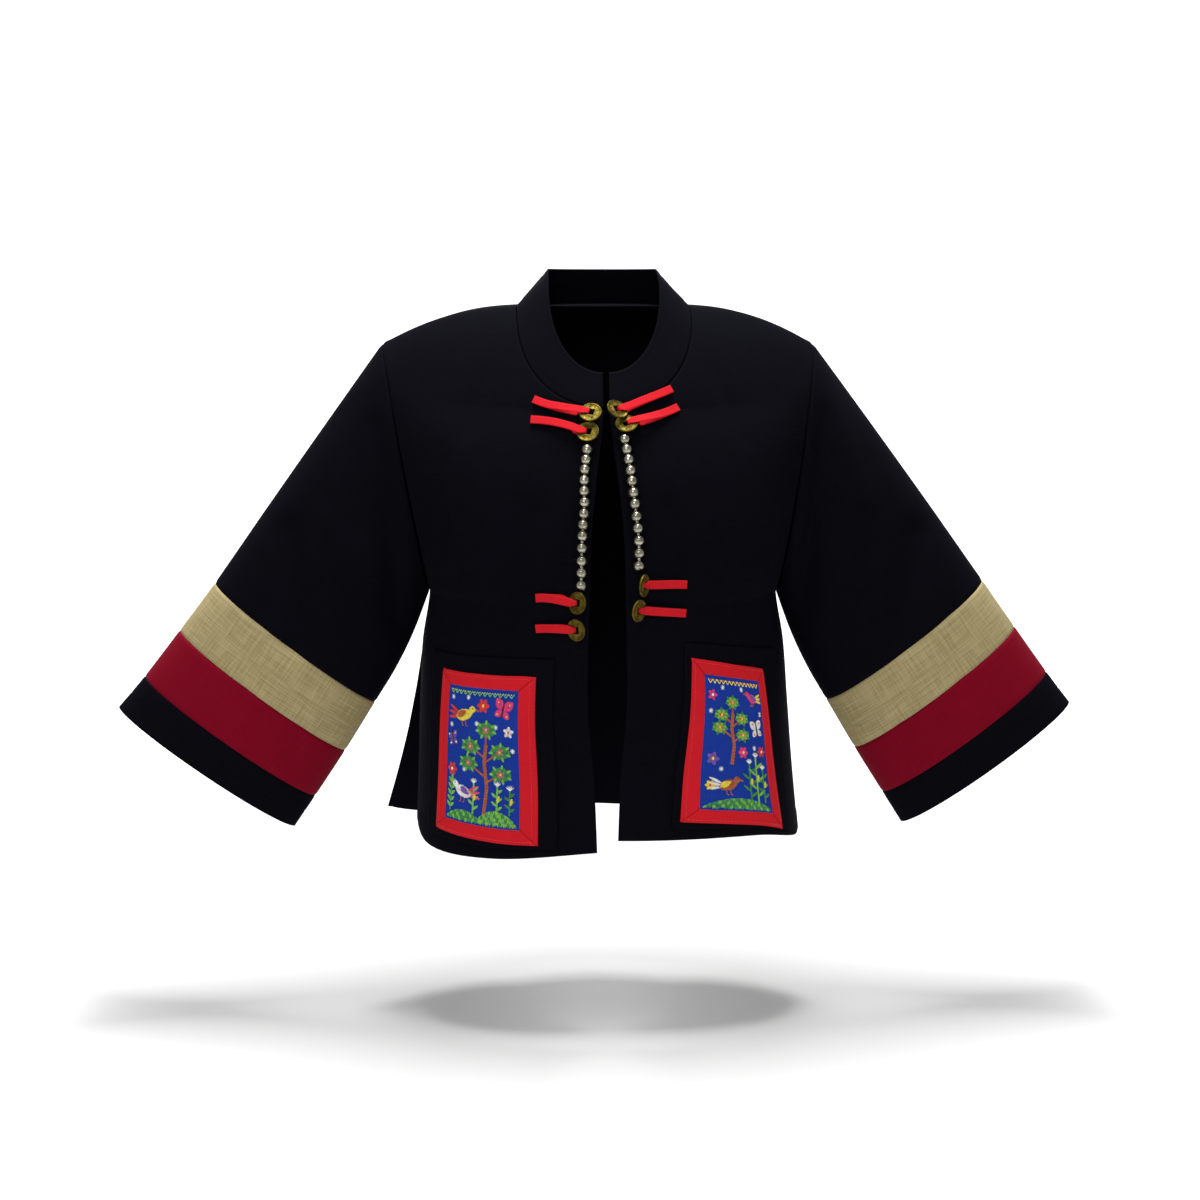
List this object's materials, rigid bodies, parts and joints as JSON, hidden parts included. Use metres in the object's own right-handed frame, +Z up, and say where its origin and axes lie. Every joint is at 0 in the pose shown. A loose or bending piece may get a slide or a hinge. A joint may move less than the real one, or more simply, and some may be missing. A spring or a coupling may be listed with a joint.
{
  "type": "hmong embroidered jacket",
  "caption": "Cropped open-front jacket with a stand collar, wide banded sleeves, side slits, embroidered patch pockets, coin and loop closures and strands of beads.",
  "frame": {"origin": "base of the neck, midway between the shoulders, where the wearer's shoulders hold the jacket up", "axes": "+Z up; +X to the viewer's right when looking at the front, across the sleeves; the front faces -Y"},
  "size_m": [0.9927, 0.2834, 0.5892],
  "materials": {
    "black_cloth": "plain woven cotton, near black with a slight blue cast, matt with a low sheen",
    "beige_linen": "slubbed linen weave, matt",
    "crimson_cloth": "plain woven cotton, matt",
    "red_border": "plain woven cotton, matt, mitred at the corners",
    "red_loop": "folded cotton strip, matt",
    "blue_ground": "cotton ground covered with coloured thread embroidery",
    "brass_coin": "aged brass, dull, with raised rims",
    "silver_bead": "bright silver-coloured metal"
  },
  "bodies": {
    "root": {"back_panel": "black_cloth", "collar": "black_cloth", "front_left": "black_cloth", "sleeve_left": "black_cloth", "band_beige_left": "beige_linen", "band_crimson_left": "crimson_cloth", "cuff_left": "black_cloth", "pocket_left": "black_cloth", "ground_left": "blue_ground", "border_top_left": "red_border", "border_low_left": "red_border", "border_inner_left": "red_border", "border_outer_left": "red_border", "front_right": "black_cloth", "sleeve_right": "black_cloth", "band_beige_right": "beige_linen", "band_crimson_right": "crimson_cloth", "cuff_right": "black_cloth", "pocket_right": "black_cloth", "ground_right": "blue_ground", "border_top_right": "red_border", "border_low_right": "red_border", "border_inner_right": "red_border", "border_outer_right": "red_border", "loop_upper_left_1": "red_loop", "loop_upper_left_2": "red_loop", "loop_upper_right_1": "red_loop", "loop_upper_right_2": "red_loop", "loop_lower_left_1": "red_loop", "loop_lower_left_2": "red_loop", "loop_lower_right_1": "red_loop", "loop_lower_right_2": "red_loop", "coin_upper_left_1": "brass_coin", "coin_upper_left_2": "brass_coin", "coin_upper_right_1": "brass_coin", "coin_upper_right_2": "brass_coin", "coin_lower_left_1": "brass_coin", "coin_lower_left_2": "brass_coin", "coin_lower_right_1": "brass_coin", "coin_lower_right_2": "brass_coin", "beads_left": "silver_bead", "beads_right": "silver_bead"}
  },
  "joints": []
}
